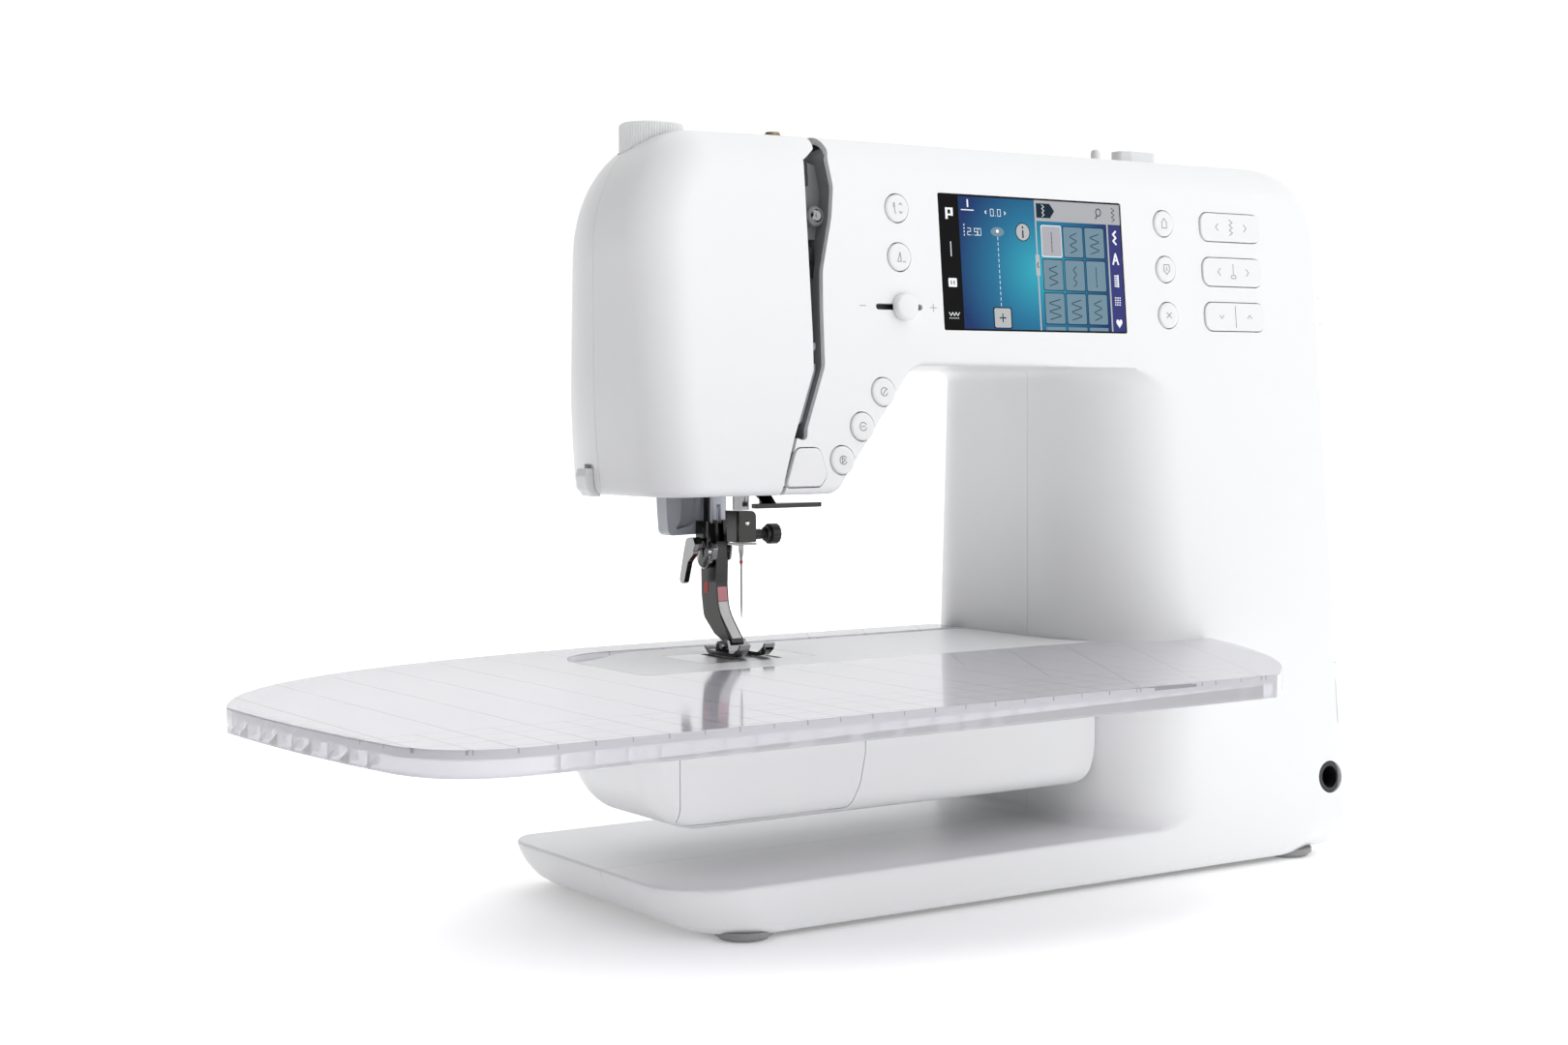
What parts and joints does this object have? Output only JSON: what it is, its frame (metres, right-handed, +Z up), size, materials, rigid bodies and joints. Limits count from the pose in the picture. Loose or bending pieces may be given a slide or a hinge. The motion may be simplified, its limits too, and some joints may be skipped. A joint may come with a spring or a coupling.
{
  "type": "sewing machine",
  "caption": "Free-arm electronic sewing machine with a touchscreen, a presser foot, a handwheel and a clear slide-on extension table.",
  "frame": {"origin": "centre of the whole machine's footprint, table and handwheel included, on the surface its feet stand on", "axes": "+X along the machine from the needle end to the handwheel, +Y from the front panel to the back, +Z up"},
  "size_m": [0.532, 0.264, 0.3115],
  "materials": {
    "white_plastic": "satin moulded",
    "grey_plastic": "fine grain",
    "light_grey_plastic": "fine grain",
    "black_plastic": "fine grain",
    "base_paint": "satin paint",
    "motor_paint": "satin paint",
    "rubber": "matt",
    "clear_acrylic": "clear polished",
    "lamp_lens": "frosted clear",
    "screen_glass": "polished",
    "brushed_steel": "brushed",
    "chrome": "polished",
    "cast_aluminium": "as cast"
  },
  "bodies": {
    "housing": {"front_housing": "white_plastic", "rear_housing": "white_plastic", "head_cover": "white_plastic", "free_arm_cover": "white_plastic", "base_plate": "base_paint", "cast_frame": "cast_aluminium", "thread_channel": "grey_plastic", "tension_unit": "brushed_steel", "touchscreen": "screen_glass", "main_motor": "motor_paint", "drive_belt": "black_plastic", "stitch_plate": "brushed_steel", "lamp": "lamp_lens", "thread_guide_arm": "brushed_steel", "top_thread_guide": "brushed_steel", "knee_lifter_socket": "black_plastic", "power_inlet": "black_plastic", "bobbin_case": "chrome", "spool_pin": "light_grey_plastic", "rubber_foot_1": "rubber", "rubber_foot_2": "rubber", "rubber_foot_3": "rubber", "rubber_foot_4": "rubber"},
    "drive_shaft": {"main_shaft": "brushed_steel", "handwheel": "white_plastic"},
    "motor_rotor": {"motor_pulley": "brushed_steel"},
    "hook_drive": {"lower_shaft": "brushed_steel"},
    "hook": {"sewing_hook": "brushed_steel"},
    "needle_carrier": {"needle_bar": "chrome", "needle_clamp": "grey_plastic", "needle": "chrome"},
    "clamp_screw": {"needle_screw": "black_plastic"},
    "take_up": {"take_up_lever": "chrome"},
    "presser": {"presser_bar": "chrome", "foot_shank": "brushed_steel", "foot_sole": "brushed_steel"},
    "foot_clamp": {"foot_clamp_lever": "chrome"},
    "lifter": {"foot_lifter": "light_grey_plastic"},
    "threader": {"threader_lever": "light_grey_plastic"},
    "dial": {"pressure_dial": "white_plastic"},
    "speed_control": {"speed_knob": "white_plastic"},
    "winder": {"winder_spindle": "white_plastic"},
    "winder_stop": {"winder_lever": "white_plastic"},
    "door": {"bobbin_door": "white_plastic"},
    "feed": {"feed_dog": "brushed_steel"},
    "table": {"extension_table": "clear_acrylic"},
    "handle": {"carrying_handle": "light_grey_plastic"},
    "switch": {"power_switch": "black_plastic"},
    "reverse": {"reverse_button": "white_plastic"},
    "needle_stop_button_cap": {"needle_stop_button": "white_plastic"},
    "securing_button_cap": {"securing_button": "white_plastic"},
    "pattern_end_button_cap": {"pattern_end_button": "white_plastic"},
    "pattern_start_button_cap": {"pattern_start_button": "white_plastic"},
    "start_stop_button_cap": {"start_stop_button": "white_plastic"},
    "home_button_cap": {"home_button": "white_plastic"},
    "help_button_cap": {"help_button": "white_plastic"},
    "clear_button_cap": {"clear_button": "white_plastic"},
    "width_rocker_cap": {"width_rocker": "white_plastic"},
    "position_rocker_cap": {"position_rocker": "white_plastic"},
    "length_rocker_cap": {"length_rocker": "white_plastic"}
  },
  "joints": [
    {"name": "handwheel_turn", "type": "hinge", "parent": "housing", "child": "drive_shaft", "pos_m": [0.1, 0.043, 0.235], "axis": [1, 0, 0], "continuous": true},
    {"name": "motor_turn", "type": "hinge", "parent": "housing", "child": "motor_rotor", "pos_m": [0.206, 0.08, 0.15], "axis": [1, 0, 0], "continuous": true},
    {"name": "hook_shaft_turn", "type": "hinge", "parent": "housing", "child": "hook_drive", "pos_m": [0.1, 0.074, 0.07], "axis": [1, 0, 0], "continuous": true},
    {"name": "hook_turn", "type": "hinge", "parent": "housing", "child": "hook", "pos_m": [-0.0402, 0.055, 0.07], "axis": [0, 1, 0], "continuous": true},
    {"name": "needle_travel", "type": "slide", "parent": "housing", "child": "needle_carrier", "axis": [0, 0, -1], "range_m": [0, 0.028]},
    {"name": "needle_screw_turn", "type": "hinge", "parent": "needle_carrier", "child": "clamp_screw", "pos_m": [-0.03, 0.045, 0.1467], "axis": [1, 0, 0], "range_deg": [0, 540]},
    {"name": "take_up_swing", "type": "hinge", "parent": "housing", "child": "take_up", "pos_m": [-0.032, 0.056, 0.262], "axis": [1, 0, 0], "range_deg": [0, 50]},
    {"name": "lifter_swing", "type": "hinge", "parent": "housing", "child": "lifter", "pos_m": [-0.051, 0.076, 0.163], "axis": [1, 0, 0], "range_deg": [0, 30]},
    {"name": "presser_lift", "type": "slide", "parent": "housing", "child": "presser", "axis": [0, 0, 1], "range_m": [0, 0.006]},
    {"name": "foot_clamp_swing", "type": "hinge", "parent": "presser", "child": "foot_clamp", "pos_m": [-0.047, 0.065, 0.1424], "axis": [-1, 0, 0], "range_deg": [0, 60]},
    {"name": "threader_slide", "type": "slide", "parent": "housing", "child": "threader", "axis": [0, 0, -1], "range_m": [0, 0.018], "stiffness_N_per_m": 40},
    {"name": "dial_turn", "type": "hinge", "parent": "housing", "child": "dial", "pos_m": [-0.08, 0.045, 0.301], "axis": [0, 0, 1], "range_deg": [-150, 150]},
    {"name": "speed_slide", "type": "slide", "parent": "housing", "child": "speed_control", "axis": [1, 0, 0], "range_m": [-0.011, 0.0075]},
    {"name": "needle_stop_press", "type": "slide", "parent": "housing", "child": "needle_stop_button_cap", "axis": [0, 0.9961, -0.088], "range_m": [0, 0.001], "stiffness_N_per_m": 300},
    {"name": "securing_press", "type": "slide", "parent": "housing", "child": "securing_button_cap", "axis": [0, 0.9961, -0.088], "range_m": [0, 0.001], "stiffness_N_per_m": 300},
    {"name": "pattern_end_press", "type": "slide", "parent": "housing", "child": "pattern_end_button_cap", "axis": [0, 0.9961, -0.088], "range_m": [0, 0.001], "stiffness_N_per_m": 300},
    {"name": "pattern_start_press", "type": "slide", "parent": "housing", "child": "pattern_start_button_cap", "axis": [0, 0.9961, -0.088], "range_m": [0, 0.001], "stiffness_N_per_m": 300},
    {"name": "start_stop_press", "type": "slide", "parent": "housing", "child": "start_stop_button_cap", "axis": [0, 0.9961, -0.088], "range_m": [0, 0.001], "stiffness_N_per_m": 300},
    {"name": "home_press", "type": "slide", "parent": "housing", "child": "home_button_cap", "axis": [0, 0.9961, -0.088], "range_m": [0, 0.001], "stiffness_N_per_m": 300},
    {"name": "help_press", "type": "slide", "parent": "housing", "child": "help_button_cap", "axis": [0, 0.9961, -0.088], "range_m": [0, 0.001], "stiffness_N_per_m": 300},
    {"name": "clear_press", "type": "slide", "parent": "housing", "child": "clear_button_cap", "axis": [0, 0.9961, -0.088], "range_m": [0, 0.001], "stiffness_N_per_m": 300},
    {"name": "reverse_press", "type": "slide", "parent": "housing", "child": "reverse", "axis": [0, 0.9961, -0.088], "range_m": [0, 0.001], "stiffness_N_per_m": 300},
    {"name": "width_rock", "type": "hinge", "parent": "housing", "child": "width_rocker_cap", "pos_m": [0.18415, 0.00553, 0.2734], "axis": [0, 0.088, 0.9961], "range_deg": [-2, 2], "stiffness_Nm_per_rad": 0.05},
    {"name": "position_rock", "type": "hinge", "parent": "housing", "child": "position_rocker_cap", "pos_m": [0.18415, 0.00383, 0.2542], "axis": [0, 0.088, 0.9961], "range_deg": [-2, 2], "stiffness_Nm_per_rad": 0.05},
    {"name": "length_rock", "type": "hinge", "parent": "housing", "child": "length_rocker_cap", "pos_m": [0.18415, 0.00214, 0.235], "axis": [0, 0.088, 0.9961], "range_deg": [-2, 2], "stiffness_Nm_per_rad": 0.05},
    {"name": "winder_spin", "type": "hinge", "parent": "housing", "child": "winder", "pos_m": [0.161, 0.065, 0.301], "axis": [0, 0, 1], "continuous": true},
    {"name": "winder_stop_slide", "type": "slide", "parent": "housing", "child": "winder_stop", "axis": [-1, 0, 0], "range_m": [0, 0.004]},
    {"name": "door_swing", "type": "hinge", "parent": "housing", "child": "door", "pos_m": [-0.051, 0.0049, 0.0422], "axis": [1, 0, 0], "range_deg": [0, 80]},
    {"name": "feed_stroke", "type": "slide", "parent": "housing", "child": "feed", "axis": [0, 1, 0], "range_m": [0, 0.002]},
    {"name": "table_slide", "type": "slide", "parent": "housing", "child": "table", "axis": [-1, 0, 0], "range_m": [0, 0.2]},
    {"name": "handle_swing", "type": "hinge", "parent": "housing", "child": "handle", "pos_m": [0.065, 0.1265, 0.285], "axis": [1, 0, 0], "range_deg": [0, 150]},
    {"name": "switch_rock", "type": "hinge", "parent": "housing", "child": "switch", "pos_m": [0.2334, 0.098, 0.072], "axis": [0, 1, 0], "range_deg": [0, 5]}
  ],
  "couplings": [
    {"joint": "motor_turn", "follows": "handwheel_turn", "ratio": 2.8889},
    {"joint": "hook_shaft_turn", "follows": "handwheel_turn", "ratio": 1},
    {"joint": "hook_turn", "follows": "handwheel_turn", "ratio": -1},
    {"joint": "take_up_swing", "follows": "needle_travel", "rad_per_m": 31.163},
    {"joint": "feed_stroke", "follows": "needle_travel", "ratio": 0.0714},
    {"joint": "lifter_swing", "follows": "presser_lift", "rad_per_m": 87.258}
  ]
}
